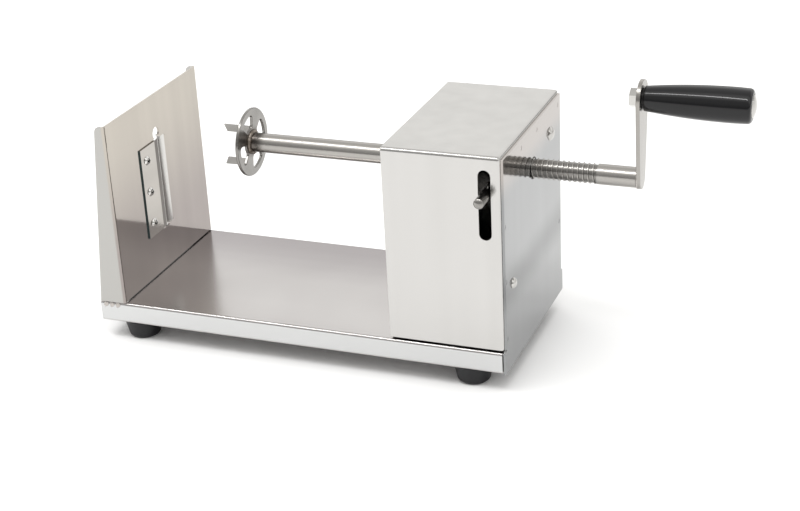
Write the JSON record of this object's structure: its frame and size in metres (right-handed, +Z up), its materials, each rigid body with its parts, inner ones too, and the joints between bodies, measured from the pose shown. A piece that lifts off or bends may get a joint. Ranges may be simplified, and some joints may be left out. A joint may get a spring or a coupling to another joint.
{
  "type": "hand-cranked spiral potato cutter",
  "caption": "Crank-driven screw spindle with a pronged fork pushes and turns a potato against an upright slit blade to cut it into one long spiral.",
  "frame": {"origin": "middle of the base's length, below the spindle axis, on the table plane under the feet", "axes": "+X along the spindle from the blade to the crank, +Y away from the lever slot's side, +Z up"},
  "size_m": [0.5211, 0.1728, 0.2333],
  "materials": {
    "sheet_steel": "polished stainless sheet",
    "blade_steel": "ground stainless",
    "weld_bead": "brushed weld",
    "spindle_steel": "polished stainless",
    "lever_steel": "plain stainless",
    "spring_steel": "bright wire",
    "fastener_steel": "stainless fastener",
    "bush_plastic": "natural acetal",
    "grip_plastic": "gloss black",
    "foot_rubber": "matt black"
  },
  "bodies": {
    "frame": {"base_tray": "sheet_steel", "rubber_feet": "foot_rubber", "foot_washers": "fastener_steel", "foot_screws": "fastener_steel", "foot_nuts": "fastener_steel", "blade_panel": "sheet_steel", "panel_welds": "weld_bead", "cutting_blade": "blade_steel", "blade_screws": "fastener_steel", "blade_nuts": "fastener_steel", "housing_cover": "sheet_steel", "inner_wall": "sheet_steel", "end_plate": "sheet_steel", "front_bush": "bush_plastic", "rear_bush": "bush_plastic", "return_spring": "spring_steel", "pivot_screw": "fastener_steel", "pivot_spacer": "fastener_steel", "pivot_washer": "fastener_steel", "pivot_nut": "fastener_steel", "anchor_screw": "fastener_steel", "anchor_nut": "fastener_steel"},
    "carriage": {"fork_weld": "weld_bead"},
    "spindle": {"spindle_tube": "spindle_steel", "fork_disc": "spindle_steel", "fork_prongs": "spindle_steel", "crank_arm": "spindle_steel", "arm_weld": "weld_bead", "grip_bolt": "fastener_steel", "grip_nut": "fastener_steel", "grip_washer": "fastener_steel"},
    "grip_barrel": {"grip": "grip_plastic"},
    "lever": {"release_lever": "lever_steel", "lever_pin": "spindle_steel", "spring_post": "lever_steel"}
  },
  "joints": [
    {"name": "spindle_feed", "type": "slide", "parent": "frame", "child": "carriage", "axis": [-1, 0, 0], "range_m": [-0.073, 0.061]},
    {"name": "crank_spin", "type": "hinge", "parent": "carriage", "child": "spindle", "pos_m": [0, 0, 0.156], "axis": [-1, 0, 0], "range_deg": [-6480, 5400]},
    {"name": "grip_spin", "type": "hinge", "parent": "spindle", "child": "grip_barrel", "pos_m": [0.3, 0, 0.2193], "axis": [1, 0, 0], "continuous": true},
    {"name": "lever_release", "type": "hinge", "parent": "frame", "child": "lever", "pos_m": [0.164, 0.0475, 0.1668], "axis": [-1, 0, 0], "range_deg": [0, 7], "stiffness_Nm_per_rad": 20, "springref_deg": -2.86, "deforming": ["return_spring"]}
  ],
  "couplings": [
    {"joint": "spindle_feed", "follows": "crank_spin", "m_per_rad": 0.00063662}
  ]
}
